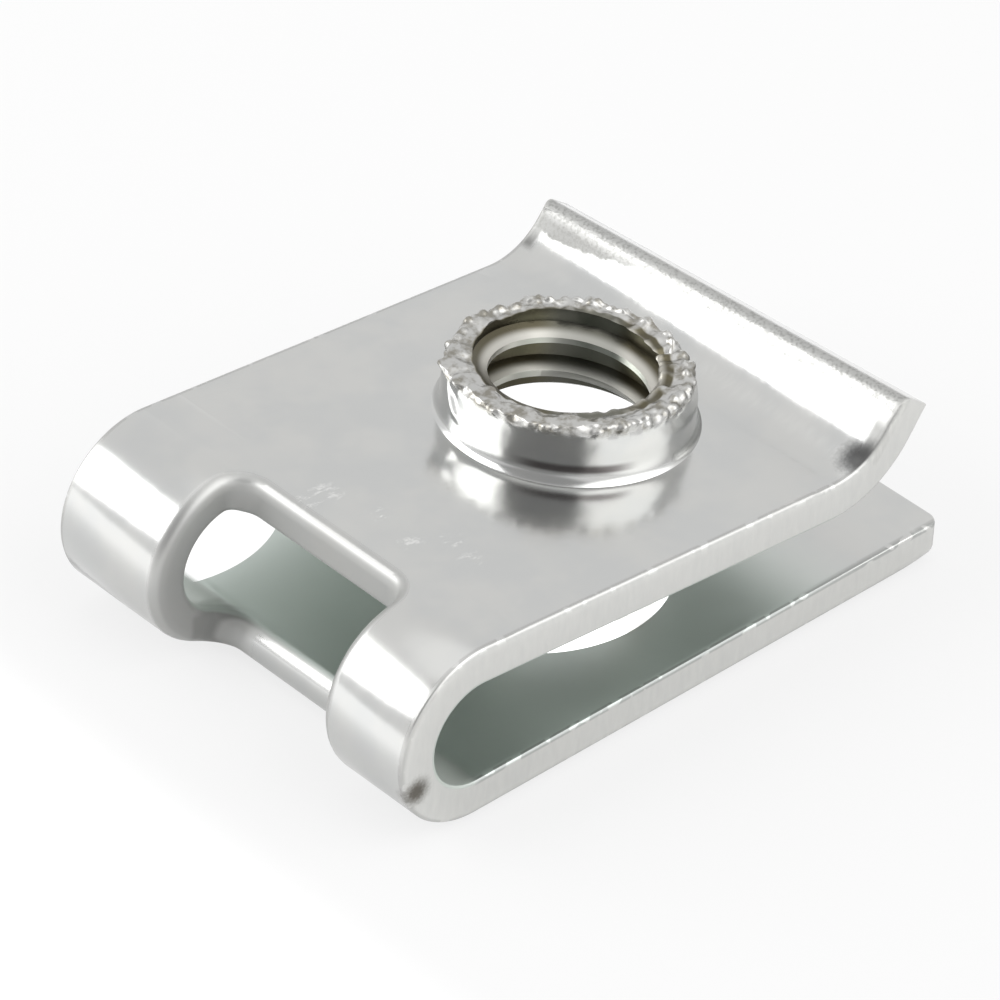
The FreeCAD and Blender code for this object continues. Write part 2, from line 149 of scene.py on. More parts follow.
punch = block(
    "punch", (WINDOW_HIGH, -WINDOW_OFFSET - WINDOW_WIDTH / 2, -SHEET),
    (WINDOW_LOW, -WINDOW_OFFSET + WINDOW_WIDTH / 2, SHEET * 2),
)
bpy.ops.object.mode_set(mode="EDIT")
pick("EDGE", lambda edge: upright_at(edge, WINDOW_HIGH) or upright_at(edge, WINDOW_LOW))
bpy.ops.mesh.bevel(offset=WINDOW_CORNER, segments=14, affect="EDGES")
bpy.ops.object.mode_set(mode="OBJECT")
cut_away(strip, punch)
bpy.ops.object.select_all(action="DESELECT")
bpy.ops.mesh.primitive_cylinder_add(
    vertices=120, radius=SCREW_HOLE_RADIUS, depth=SHEET * 2, location=(0, 0, SHEET / 2),
)
cut_away(strip, bpy.context.active_object)

# Rolled and sheared edges
# Blanking rolls the edges of the outer skin over, most of all round the
# window, and leaves a small burr on the inner ones. The strap's inner edge is
# the roundest.
SIDE_ROLL = 0.36
SIDE_BURR = 0.1
WINDOW_ROLL = 0.5
WINDOW_BURR = 0.22
STRAP_ROUND = 0.75


def ramp(value, low, high):
    """Rise smoothly from 0 at low to 1 at high."""
    share = min(1.0, max(0.0, (value - low) / (high - low)))
    return share * share * (3 - 2 * share)


def edge_at(edge, level, in_window):
    """A sharp edge of the blank at that level, in the window or outside it."""
    if len(edge.link_faces) != 2 or edge.calc_face_angle(0) < math.radians(35):
        return False
    ends = [vertex.co for vertex in edge.verts]
    if any(abs(end.z - level) > 0.01 for end in ends):
        return False
    inside = all(WINDOW_HIGH - 0.01 < end.x < WINDOW_LOW + 0.01 for end in ends)
    inside = inside and all(abs(end.y + WINDOW_OFFSET) < WINDOW_WIDTH / 2 + 0.01 for end in ends)
    return inside == in_window


bpy.ops.object.mode_set(mode="EDIT")
pick("EDGE", lambda edge: edge_at(edge, SHEET, True))
bpy.ops.object.mode_set(mode="OBJECT")
weights = strip.data.attributes.new("bevel_weight_edge", "FLOAT", "EDGE")
for edge in strip.data.edges:
    if edge.select:
        middle = sum(strip.data.vertices[end].co.x for end in edge.vertices) / 2
        rise = (middle - WINDOW_LOW + WINDOW_CORNER) / WINDOW_CORNER
        share = ramp(math.asin(min(1.0, max(0.0, rise))), 0.0, math.pi / 2)
        size = WINDOW_BURR + (STRAP_ROUND - WINDOW_BURR) * share
        weights.data[edge.index].value = size / STRAP_ROUND
roll = strip.modifiers.new("roll", "BEVEL")
roll.limit_method = "WEIGHT"
roll.width = STRAP_ROUND
roll.segments = 8
roll.use_clamp_overlap = False
bpy.ops.object.modifier_apply(modifier="roll")
bpy.ops.object.mode_set(mode="EDIT")
for level, in_window, size, segments in (
    (0, True, WINDOW_ROLL, 6), (0, False, SIDE_ROLL, 5), (SHEET, False, SIDE_BURR, 2),
):
    pick("EDGE", lambda edge: edge_at(edge, level, in_window))
    bpy.ops.mesh.bevel(offset=size, segments=segments, affect="EDGES", clamp_overlap=False)

# Fold
# The strip is folded round the closed end until the upper leaf lies over the
# lower one, and its end is turned up into the lead-in lip.
bend_centre = Vector((bend_from, 0, BEND_RADIUS))
leaf_along = Vector((math.cos(LEAF_TILT), 0, -math.sin(LEAF_TILT)))
leaf_up = Vector((math.sin(LEAF_TILT), 0, math.cos(LEAF_TILT)))
leaf_start = bend_centre + leaf_up * BEND_RADIUS
leaf_end = leaf_start + leaf_along * UPPER_LENGTH
lip_centre = leaf_end + leaf_up * LIP_RADIUS
lip_lean = LIP_ANGLE - LEAF_TILT
lip_along = Vector((math.cos(lip_lean), 0, math.sin(lip_lean)))
lip_up = Vector((-math.sin(lip_lean), 0, math.cos(lip_lean)))
lip_start = lip_centre - lip_up * LIP_RADIUS


def folded(point):
    """Where a point of the blank ends up."""
    across = Vector((0, point.y, 0))
    depth = point.z
    if point.x >= bend_from:
        return point.copy()
    if point.x >= bend_to:
        turn = (bend_from - point.x) / BEND_RADIUS
        out = Vector((-math.sin(turn), 0, -math.cos(turn)))
        return bend_centre + out * (BEND_RADIUS - depth) + across
    if point.x >= fold_from:
        return leaf_start + leaf_along * (bend_to - point.x) - leaf_up * depth + across
    if point.x >= fold_to:
        turn = (fold_from - point.x) / LIP_RADIUS - LEAF_TILT
        up = Vector((-math.sin(turn), 0, math.cos(turn)))
        return lip_centre - up * (LIP_RADIUS + depth) + across
    return lip_start + lip_along * (fold_to - point.x) - lip_up * depth + across


def spaced(start, stop, steps):
    """Even steps from start, up to but not including stop."""
    return [start + (stop - start) * step / steps for step in range(steps)]


# Each bisect adds a line across the blank, and the lines lie closest where it
# will bend.
for place in (
    spaced(LOWER_REACH - 0.6, bend_from, 50) + spaced(bend_from, bend_to, 90)
    + spaced(bend_to, fold_from, 42) + spaced(fold_from, fold_to, 30)
    + [fold_to, fold_to - 0.3]
):
    bpy.ops.mesh.select_all(action="SELECT")
    bpy.ops.mesh.bisect(plane_co=(place, 0, 0), plane_no=(1, 0, 0))
bpy.ops.mesh.select_all(action="SELECT")
bpy.ops.mesh.remove_doubles(threshold=0.0005)
bpy.ops.object.mode_set(mode="OBJECT")
for corner in strip.data.vertices:
    corner.co = folded(corner.co)

# Drawn collar
# A punch draws the leaf's metal up into a collar round the screw's axis. The
# metal thins towards the rim and is drawn in on the underside.
COLLAR_SIDES = 320
COLLAR_RADIUS = 4.08
BORE_RADIUS = 2.65
MOUTH_RADIUS = 2.67
RIM_OUTER = (3.7, 2.01)
RIM_INNER = (2.93, 1.905)


def curve(start, leave, arrive, stop, count):
    """That many points on a smooth curve, which its two handles bend."""
    return [tuple(point) for point in interpolate_bezier(start, leave, arrive, stop, count)]


# Each line is a radius and a height over the leaf. The collar is rooted in the
# leaf's thickness. It runs from its flared foot up the wall, over a blunt rim
# that slopes in, and down the bore.
COLLAR_LINE = (
    [(4.6, -0.4), (4.45, -0.14)]
    + curve((4.3, 0.0), (4.14, 0.13), (4.085, 0.38), (COLLAR_RADIUS, 0.8), 13)
    + [(COLLAR_RADIUS, height) for height in spaced(0.9, 1.6, 7)]
    + curve((COLLAR_RADIUS, 1.6), (COLLAR_RADIUS, 1.91), (3.985, RIM_OUTER[1]), RIM_OUTER, 12)
    + list(zip(spaced(3.63, RIM_INNER[0], 10), spaced(2.0, RIM_INNER[1], 10)))
    + curve(RIM_INNER, (2.734, RIM_INNER[1]), (BORE_RADIUS, 1.69), (BORE_RADIUS, 1.2), 12)
    + [(BORE_RADIUS, height) for height in (0.9, 0.6, 0.3, 0.0, -0.4)]
)
# The drawn-in mouth, cut up through the leaf from below
MOUTH_LINE = (
    [(MOUTH_RADIUS, 0.05)]
    + curve((MOUTH_RADIUS, -0.36), (MOUTH_RADIUS, -0.53), (3.47, -1.28), (3.86, -1.31), 12)
    + [(3.95, -1.7)]
)

leaf_top = leaf_start + leaf_along * (-leaf_start.x / leaf_along.x)
square_to_leaf = Matrix.Rotation(LEAF_TILT, 3, "Y")


def fix_normals():
    """Merge doubles, then point every face outwards."""
    bpy.ops.mesh.select_mode(type="VERT")
    bpy.ops.mesh.select_all(action="SELECT")
    bpy.ops.mesh.remove_doubles(threshold=0.0005)
    bpy.ops.mesh.normals_make_consistent(inside=False)


def turned(name, line, closed):
    """A turned form on the screw's axis: a circle drawn on along the line."""
    radius, height = line[0]
    bpy.ops.object.select_all(action="DESELECT")
    bpy.ops.mesh.primitive_circle_add(
        vertices=COLLAR_SIDES, radius=radius, rotation=(0, LEAF_TILT, 0),
        location=leaf_top + leaf_up * height,
        fill_type="NOTHING" if closed else "NGON",
    )
    form = bpy.context.active_object
    form.name = name
    bpy.ops.object.transform_apply(location=True, rotation=True, scale=True)
    bpy.ops.object.mode_set(mode="EDIT")
    bpy.ops.mesh.select_mode(type="EDGE" if closed else "FACE")
    bpy.ops.mesh.select_all(action="SELECT")
    for next_radius, next_height in line[1:] + line[:1] * closed:
        rise = leaf_up * (next_height - height)
        if closed:
            bpy.ops.mesh.extrude_edges_move(TRANSFORM_OT_translate={"value": rise})
        else:
            bpy.ops.mesh.extrude_region_move(TRANSFORM_OT_translate={"value": rise})
        grow = next_radius / radius
        bpy.ops.transform.resize(
            value=(grow, grow, 1), orient_type="GLOBAL", orient_matrix=square_to_leaf,
            orient_matrix_type="GLOBAL", center_override=leaf_top + leaf_up * next_height,
        )
        radius, height = next_radius, next_height
    fix_normals()
    bpy.ops.object.mode_set(mode="OBJECT")
    return form


collar = turned("collar", COLLAR_LINE, True)
mouth = turned("mouth", MOUTH_LINE, False)
bpy.ops.object.select_all(action="DESELECT")
bpy.context.view_layer.objects.active = strip
strip.select_set(True)
weld = strip.modifiers.new("weld", "BOOLEAN")
weld.operation = "UNION"
weld.solver = "EXACT"
weld.object = collar
bpy.ops.object.modifier_apply(modifier="weld")
bpy.data.objects.remove(collar, do_unlink=True)
cut_away(strip, mouth)

# Torn rim
# The rim is never trimmed. It is left ragged, with beads of zinc on the torn
# metal, a burr standing up at the left and a nick at the right.
RIM_TOP = 7.705
TEAR_FROM = 1.6
BEAD_SIZE = 0.42
BEAD_RISE = 0.16
PIT_RISE = 0.05
WAVE_RISE = 0.12
LEAN_IN = 0.26
LEAN_TURN = math.radians(20)
NEAR_RISE = 0.1
NEAR_TURN = math.radians(236)
BURR_RISE = 0.14
BURR_OUT = 0.26
CREASE_OUT = 0.12
NICK_DEPTH = 0.26
NICK_IN = 0.1
WALL_WAVE = 0.02


def collar_place(point):
    """A point's distance from the screw's axis, turn round it and height."""
    flat = point - leaf_top
    height = flat.dot(leaf_up)
    flat -= leaf_up * height
    return flat.length, math.atan2(flat.y, flat.dot(leaf_along)), height


def bead(point, size):
    """A round bump in each cell of an uneven mesh of that size, 0 to 1."""
    near = noise.voronoi(point / size)[0][0]
    return 1 - ramp(near, 0.1, 0.75)


def peak(turn, middle, wide):
    """1 at that turn in degrees, falling smoothly to 0 on both sides of it."""
    off = (math.degrees(turn) - middle + 180) % 360 - 180
    return 1 - ramp(abs(off), 0, wide)


def torn_move(spot, normal):
    """How far drawing and tearing have moved a point of the collar."""
    out, turn, height = collar_place(spot)
    away = (spot - leaf_top - leaf_up * height).normalized()
    edge = ramp(height, TEAR_FROM, 1.8)
    rough = ramp(height, TEAR_FROM, 1.86) * ramp(out, 2.62, 2.8)
    # Beads of zinc, largest at the outside, over small pits
    beads = BEAD_RISE * (0.35 + 0.65 * ramp(out, 3.35, 3.85)) * bead(spot, BEAD_SIZE)
    move = normal * rough * (beads + PIT_RISE * (noise.noise(spot * 2.6) - 1))
    # The rim rises and falls on its way round, and is highest at the near side.
    wave = noise.noise(Vector((math.cos(turn), math.sin(turn), 0)) * 6.5) - 0.2
    move += leaf_up * edge * WAVE_RISE * wave
    near_side = max(0.0, math.cos(turn - NEAR_TURN))
    move += leaf_up * edge * NEAR_RISE * near_side * ramp(out, 3.0, 3.8)
    # The wall leans in on the side of the open end.
    lean = 0.5 + 0.5 * math.cos(turn - LEAN_TURN)
    move -= away * LEAN_IN * lean * ramp(height, 0.9, 1.9) * ramp(out, 3.2, 4.0)
    # The burr has two points, and a crease runs down the wall below it.
    burr = peak(turn, 146, 9) + 0.6 * peak(turn, 161, 6)
    burr *= ramp(height, 1.4, 1.8) * ramp(out, 3.4, 3.9)
    move += (away * BURR_OUT + leaf_up * BURR_RISE) * burr
    crease = peak(turn, 151 + 12 * (1.9 - height), 6) * ramp(height, 0.5, 0.9)
    move += away * CREASE_OUT * crease * ramp(out, 3.7, 3.95)
    nick = peak(turn, -22, 5) + 0.5 * peak(turn, -31, 4)
    move -= (leaf_up * NICK_DEPTH + away * NICK_IN) * nick * edge
    # The wall itself is a little uneven.
    lumps = noise.noise(spot * 0.6 + Vector((3, 1, 7))) + 0.4 * noise.noise(spot * 2.1)
    wall = ramp(height, 0.3, 0.6) * ramp(out, 3.6, 3.9)
    return move + normal * wall * WALL_WAVE * lumps


torn = bmesh.new()
torn.from_mesh(strip.data)
torn.normal_update()
for vertex in torn.verts:
    out, turn, height = collar_place(vertex.co)
    if out < 4.6 and height > 0.2:
        vertex.co += torn_move(vertex.co, vertex.normal)
        vertex.co.z = min(vertex.co.z, RIM_TOP)
torn.to_mesh(strip.data)
torn.free()

# Thread
# The collar is tapped with a 1.27 mm pitch. The tap's tooth is wound into a
# coil round the axis, and the coil's shape is cut out of the bore.
PITCH = 1.27
THREAD_OUT = 3.175
TOOTH_ROOT = 2.4
TOOTH_TIP = 0.46
THREAD_TURNS = 4
THREAD_FROM = -2.38
TURN_STEPS = 128
tooth_base = TOOTH_TIP + 2 * (THREAD_OUT - TOOTH_ROOT) * math.tan(math.radians(30))

bpy.ops.object.select_all(action="DESELECT")
bpy.ops.mesh.primitive_plane_add(size=1, rotation=(math.radians(90), 0, 0))
tap = bpy.context.active_object
tap.name = "tap"
bpy.ops.object.transform_apply(location=True, rotation=True, scale=True)
for corner in tap.data.vertices:
    outer = corner.co.x > 0
    corner.co.x = THREAD_OUT if outer else TOOTH_ROOT
    corner.co.z = math.copysign((TOOTH_TIP if outer else tooth_base) / 2, corner.co.z)
wind = tap.modifiers.new("wind", "SCREW")
wind.axis = "Z"
wind.angle = math.tau
wind.screw_offset = PITCH
wind.iterations = THREAD_TURNS
wind.steps = TURN_STEPS
wind.render_steps = TURN_STEPS
wind.use_smooth_shade = False
bpy.ops.object.modifier_apply(modifier="wind")
bpy.ops.object.mode_set(mode="EDIT")
bpy.ops.mesh.select_mode(type="EDGE")
bpy.ops.mesh.select_all(action="DESELECT")
bpy.ops.mesh.select_non_manifold()
bpy.ops.mesh.edge_face_add()
bpy.ops.mesh.select_all(action="SELECT")
bpy.ops.mesh.normals_make_consistent(inside=False)
bpy.ops.transform.translate(value=(0, 0, THREAD_FROM))
bpy.ops.transform.rotate(
    value=-LEAF_TILT, orient_axis="Y", orient_type="GLOBAL", center_override=(0, 0, 0),
)
bpy.ops.transform.translate(value=leaf_top)
bpy.ops.object.mode_set(mode="OBJECT")
cut_away(strip, tap)

# Whole skin
# The cuts leave slivers in the skin, which are closed up. Its faces are then
# smoothed, apart from the sharp edges, and the clip goes from millimetres to
# metres.
SLIVER = 0.004
MM = 0.001


def on_hole_edge(point, level, size):
    """A point where the lower leaf's flat meets the screw hole's rounded edge."""
    from_hole = math.hypot(point.x, point.y) - SCREW_HOLE_RADIUS - size
    return abs(point.z - level) < 0.005 and abs(from_hole) < 0.02


bpy.ops.object.select_all(action="DESELECT")
bpy.context.view_layer.objects.active = strip
strip.select_set(True)
bpy.ops.object.mode_set(mode="EDIT")
fix_normals()
bpy.ops.mesh.quads_convert_to_tris(quad_method="BEAUTY", ngon_method="BEAUTY")
bpy.ops.mesh.dissolve_degenerate(threshold=SLIVER)
bpy.ops.mesh.select_all(action="SELECT")
bpy.ops.mesh.quads_convert_to_tris(quad_method="BEAUTY", ngon_method="BEAUTY")
bpy.ops.mesh.select_all(action="SELECT")
bpy.ops.transform.resize(value=(MM, MM, MM), center_override=(0, 0, 0))
bpy.ops.object.mode_set(mode="OBJECT")
bpy.ops.object.shade_smooth_by_angle(angle=math.radians(32))
# The torn rim is smooth all over. The flats of the lower leaf are shaded apart
# from the screw hole's edges.
corners = strip.data.vertices
for edge in strip.data.edges:
    ends = [corners[index].co / MM for index in edge.vertices]
    out, turn, height = collar_place(ends[0])
    if height > 1.3 and 3.22 < out < 4.4:
        edge.use_edge_sharp = False
    for level, size in ((0, SIDE_ROLL), (SHEET, SIDE_BURR)):
        if all(on_hole_edge(end, level, size) for end in ends):
            edge.use_edge_sharp = True
# The flat of the upper leaf is shaded apart from the collar's foot.
for face in strip.data.polygons:
    middle = face.center / MM
    out, turn, height = collar_place(middle)
    if abs(height) < 0.003 and face.normal.dot(leaf_up) > 0.9999 and -9.5 < middle.x < 3.5:
        for index in face.loop_indices:
            strip.data.edges[strip.data.loops[index].edge_index].use_edge_sharp = True
even = strip.modifiers.new("even", "WEIGHTED_NORMAL")
even.keep_sharp = True
bpy.ops.object.modifier_apply(modifier="even")

# Zinc finish
# Bright zinc plate over the whole clip. It is satin inside the fold and on the
# sheared edges, scuffed along the lip and dull on the torn rim. Places below
# are in millimetres.


class Link:
    """A node's output socket, with arithmetic that adds Math nodes."""

    def __init__(self, tree, socket):
        self.tree = tree
        self.socket = socket

    def add(self, node_type, settings=(), inputs=(), output=0):
        """Add a node, with its settings set before its sockets."""
        node = self.tree.nodes.new(node_type)
        for name, value in dict(settings).items():
            setattr(node, name, value)
        for name, value in dict(inputs).items():
            if isinstance(value, Link):
                self.tree.links.new(value.socket, node.inputs[name])
            else:
                node.inputs[name].default_value = value
        return Link(self.tree, node.outputs[output])

    def maths(self, operation, *values):
        return self.add("ShaderNodeMath", {"operation": operation}, enumerate(values))

    def __add__(self, other):
        return self.maths("ADD", self, other)

    def __radd__(self, other):
        return self.maths("ADD", other, self)

    def __sub__(self, other):
        return self.maths("SUBTRACT", self, other)

    def __rsub__(self, other):
        return self.maths("SUBTRACT", other, self)

    def __mul__(self, other):
        return self.maths("MULTIPLY", self, other)

    def __rmul__(self, other):
        return self.maths("MULTIPLY", other, self)

    def size(self):
        """The value without its sign."""
        return self.maths("ABSOLUTE", self)

    def root(self):
        return self.maths("SQRT", self)

    def most(self, other):
        """The larger of the two."""
        return self.maths("MAXIMUM", self, other)

    def under(self, limit):
        """1 where the value is under the limit, 0 elsewhere."""
        return self.maths("LESS_THAN", self, limit)

    def step(self, low, high, start=0.0, stop=1.0):
        """Go smoothly from start to stop as the value goes from low to high."""
        return self.add("ShaderNodeMapRange", {"interpolation_type": "SMOOTHSTEP"}, {
            "Value": self, "From Min": low, "From Max": high,
            "To Min": start, "To Max": stop,
        })

    def fall(self, low, high):
        """Go smoothly from 1 to 0 as the value goes from low to high."""
        return self.step(low, high, 1.0, 0.0)

    def band(self, low, full, last, gone):
        """Rise from 0 at low to 1 at full, and fall again from last to gone."""
        return self.step(low, full) * self.fall(last, gone)

    def blend(self, first, second):
        """Mix two colours, with this value as the share of the second."""
        node = self.tree.nodes.new("ShaderNodeMix")
        node.data_type = "RGBA"
        self.tree.links.new(self.socket, node.inputs[0])
        for socket, colour in ((node.inputs[6], first), (node.inputs[7], second)):
            if isinstance(colour, Link):
                self.tree.links.new(colour.socket, socket)
            else:
                socket.default_value = (*colour, 1)
        return Link(self.tree, node.outputs[2])

    def into(self, node, name):
        """Feed a shader's socket."""
        self.tree.links.new(self.socket, node.inputs[name])


zinc = bpy.data.materials.new("bright_zinc_plate")
zinc.use_nodes = True
tree = zinc.node_tree
metal = tree.nodes["Principled BSDF"]
metal.inputs["Metallic"].default_value = 1.0
coords = Link(tree, tree.nodes.new("ShaderNodeTexCoord").outputs["Object"])
spot = coords.add(
    "ShaderNodeVectorMath", {"operation": "SCALE"}, {"Vector": coords, "Scale": 1 / MM}, "Vector",
)


def along(direction, start):
    """Millimetres from start along a direction."""
    return spot.add(
        "ShaderNodeVectorMath", {"operation": "DOT_PRODUCT"}, {0: spot, 1: direction}, "Value",
    ) - start.dot(direction)


def grain(scale, detail=2.0, roughness=0.5, stretch=(1, 1, 1), distortion=0.0):
    """Noise, 0 to 1, with that many grains a millimetre."""
    mapped = spot.add("ShaderNodeMapping", {}, {"Vector": spot, "Scale": stretch})
    return spot.add("ShaderNodeTexNoise", {}, {
        "Vector": mapped, "Scale": scale, "Detail": detail, "Roughness": roughness,
        "Distortion": distortion,
    })


def distance(off_a, off_b):
    """How far two offsets at right angles reach together."""
    return (off_a * off_a + off_b * off_b).root()


def disc(x, y, radius):
    """1 inside a disc on the lower leaf, 0 outside it."""
    return distance(x_mm - x, y_mm - y).under(radius)


def near_spot(place, solid, gone, ragged):
    """1 round a place, falling to 0 between two distances, with a ragged edge."""
    away = spot.add(
        "ShaderNodeVectorMath", {"operation": "DISTANCE"}, {0: spot, 1: place}, "Value",
    )
    return (away + (speck - 0.5) * ragged).fall(solid, gone)


# Places on the clip
origin = Vector((0, 0, 0))
x_mm = along(Vector((1, 0, 0)), origin)
y_mm = along(Vector((0, 1, 0)), origin)
z_mm = along(Vector((0, 0, 1)), origin)
from_side = y_mm.size()
axis_x = along(leaf_along, leaf_top)
height = along(leaf_up, leaf_top)
out = distance(axis_x, y_mm)
lip_reach = along(lip_along, lip_start)
lip_height = along(lip_up, lip_start)
bend_out = distance(x_mm - bend_centre.x, z_mm - bend_centre.z)

# Grains, marks and specks
cloud = grain(0.35, 3.0, 0.6)
speck = grain(9.0, 2.0, 0.6)
highlight_dots = grain(1.9, 1.0, 0.5).step(0.57, 0.62)
fine = grain(26.0, 2.0, 0.6)
smudge = grain(2.2, 3.0, 0.65)
streak = grain(1.6, 3.0, 0.7, (1, 3, 3))
shear_marks = grain(4.0, 3.0, 0.6, (1, 1, 0.25))
scratch = grain(2.2, 4.0, 0.7, (0.35, 6, 6), 0.4).step(0.66, 0.78)

# Inside the fold. The lower leaf's inner face is satin, with white mirror discs
# painted on it as painted highlights where bright openings show through the collar and the
# window.
flat_part = x_mm.step(bend_from - 0.3, bend_from + 0.1)
low_face = flat_part * z_mm.band(1.19, 1.28, 1.4, 1.8)
low_inside = low_face * x_mm.fall(1.5, 6.0)
# Painted highlights: white mirror discs on the lower leaf's inner face.
near_highlight_disc = disc(-2.4, -0.9, 4.82) * y_mm.under(-3.2)
painted_highlight_discs = low_face * disc(4.7, 4.9, 3.2).most(disc(-9.82, 9.64, 4.87)).most(near_highlight_disc)
# Painted shade: the lower leaf's inner face is darkened round a spot at the near side.
gap_painted_shade = low_face * near_spot((-5.3, -6.1, 1.3), 0.4, 2.7, 0.0)
top_inside = flat_part * height.band(-1.7, -1.5, -1.28, -1.19) * z_mm.step(2.0, 2.6)
bend_inside = (1 - flat_part) * bend_out.fall(1.9, 1.99)
inside = top_inside.most(bend_inside)

# The sheared sides and the arrises along them
sheared = from_side.step(7.86, 7.97)
arris = from_side.band(7.74, 7.84, 7.94, 7.99)
low_arris = flat_part * from_side.step(7.84, 7.9) * z_mm.band(1.1, 1.2, 1.4, 1.5)

# The lip's scuffed end, with painted shade over its highlight, and the fold below it
scuff_from = y_mm.step(2.0, 6.8, 0.34, -0.44) + y_mm.step(-7.2, -2.0, 0.3, 0.0)
scuff_from = scuff_from + (grain(1.3, 3.0, 0.7) - 0.5) * 0.45
lip_skin = lip_height.step(-0.4, -0.2)
scuffed = (lip_reach - scuff_from).step(-0.08, 0.08) * lip_skin
# The lip's ends are rougher and get painted shade that dims the soft box's highlight there.
dull_shaded_end = (from_side + (grain(1.1, 2.0, 0.6) - 0.5) * 0.3).step(7.25, 7.55)
dull_shaded_end = dull_shaded_end * lip_reach.step(-1.25, -0.95) * lip_skin
scuff_and_shade = scuffed.most(dull_shaded_end)
fold_line = axis_x.step(3.2, 4.2) * z_mm.step(2.5, 3.0)

# The window's rolled edge, with painted shade that dims its highlight, and the strap
aside = (y_mm + WINDOW_OFFSET).size()
corner_y = (aside - (WINDOW_WIDTH / 2 - WINDOW_CORNER)).most(0.0)
window_end = (leaf_start - leaf_top).dot(leaf_along) + bend_to - WINDOW_HIGH
corner_x = (axis_x - window_end + WINDOW_CORNER).most(0.0)
from_wall = distance(corner_x, corner_y) - WINDOW_CORNER
near_window = x_mm.fall(-10.0, -7.0)
window_wall = from_wall.size().fall(0.04, 0.16) * near_window
off_strap = z_mm.step(1.4, 2.2).most(aside.step(2.0, 3.6))
window_edge_shade = from_wall.fall(0.28, 0.48) * near_window * off_strap
strap = x_mm.band(-12.8, -12.5, -11.2, -10.9) * z_mm.fall(1.4, 1.8) * aside.fall(4.2, 4.5)

# The collar's rim, bore and thread, with painted shade in the thread and on the bore's right, and
# a band of painted shade over its foot on the side facing the camera
rim = height.step(1.6, 1.85) * out.band(2.66, 2.8, 4.3, 4.5)
bore = out.fall(3.17, 3.25) * height.band(-1.6, -1.3, 1.88, 1.97) * z_mm.step(2.4, 3.0)
shaded_groove = bore * out.step(2.76, 3.04)
to_right = (axis_x * 0.719 + y_mm * -0.695) * (1 / BORE_RADIUS)
bore_right_shade = bore * to_right.band(-0.45, -0.05, 0.5, 0.75)
to_front = (axis_x * -0.66 + y_mm * -0.75) * (1 / COLLAR_RADIUS)
# A band of painted shade over the collar's foot, on the side facing the camera.
crease = height.band(0.34, 0.46, 0.56, 0.74) * to_front.step(0.86, 0.97)
crease = crease * out.band(3.9, 4.0, 4.3, 4.4)

# Worn specks on the upper leaf, a dark spot on the bend's near cut face, and a painted dark
# reflection in the lip's fold at its near end
worn = near_spot((-9.3, 1.0, 6.18), 0.1, 0.75, 1.0)
for place in (
    (-10.2, 1.0, 6.25), (-8.73, -0.92, 6.13), (-9.0, -2.58, 6.15), (-7.92, -3.21, 6.07),
    (-12.5, 2.9, 6.4), (-8.2, -4.3, 6.09),
):
    worn = worn.most(near_spot(place, 0.05, 0.5, 1.0))
worn = worn * streak.step(0.5, 0.62)
# A dark spot on the bend's near cut face.
dark_spot_on_bend = near_spot((-13.6, -8.0, 2.2), 0.12, 0.7, 0.3)
# Painted dark reflection in the lip's fold at its near end.
shaded = near_spot((5.4, -7.7, 5.42), 0.25, 0.95, 0.3) * (1 - sheared)

plate = cloud.step(0.35, 0.65).blend((0.5, 0.505, 0.5), (0.53, 0.53, 0.518))
plate = (scratch * 0.3).blend(plate, (0.7, 0.7, 0.69))
plate = (worn * 0.8).blend(plate, (0.68, 0.68, 0.67))
# Painted shade on the lip: darkest where the soft box's highlight falls, lighter beyond it.
lip_painted_grey = lip_reach.step(-0.1, 0.5).blend((0.15, 0.15, 0.145), (0.4, 0.4, 0.39))
plate = (scuff_and_shade * 0.9).blend(plate, lip_painted_grey)
plate = (scuffed * speck.step(0.45, 0.65) * 0.4).blend(plate, (0.14, 0.14, 0.13))
plate = (sheared * shear_marks.step(0.2, 0.8, 0.6, 1.0)).blend(plate, (0.62, 0.62, 0.6))
# Painted shade along the upper arrises, which breaks their highlight into bright dots.
plate = (arris * (1 - highlight_dots) * 0.6).blend(plate, (0.37, 0.37, 0.36))
# Painted shade on the window's rolled edge, which dims its highlight.
plate = (window_edge_shade * 0.55).blend(plate, (0.3, 0.3, 0.29))
plate = (rim * 0.6).blend(plate, (0.42, 0.415, 0.4))
plate = (rim * smudge.step(0.4, 0.66) * 0.75).blend(plate, (0.17, 0.155, 0.12))
# The band of painted shade over the collar's foot, near black.
plate = (crease * 0.8).blend(plate, (0.06, 0.045, 0.045))
plate = (bore * 0.6).blend(plate, (0.5, 0.48, 0.42))
# Painted shade in the thread's grooves, darkest towards their roots.
plate = shaded_groove.blend(plate, (0.1, 0.09, 0.06))
# Painted shade on the right side of the bore.
plate = (bore_right_shade * 0.55).blend(plate, (0.17, 0.175, 0.16))
plate = low_inside.blend(plate, (0.6, 0.65, 0.62))
# Painted shade along the lower leaf's arrises, which breaks their highlight into bright dots.
plate = (low_arris * (1 - highlight_dots) * 0.7).blend(plate, (0.34, 0.35, 0.34))
# Painted shade on the lower leaf's inner face.
plate = (gap_painted_shade * 0.35).blend(plate, (0.28, 0.31, 0.29))
# The painted highlight discs are pure white and near mirror.
plate = painted_highlight_discs.blend(plate, (1.0, 1.0, 1.0))
plate = inside.blend(plate, (0.5, 0.535, 0.505))
plate = (dark_spot_on_bend * 0.9).blend(plate, (0.07, 0.06, 0.045))
plate = (shaded * 0.9).blend(plate, (0.07, 0.07, 0.07))
plate.into(metal, "Base Color")

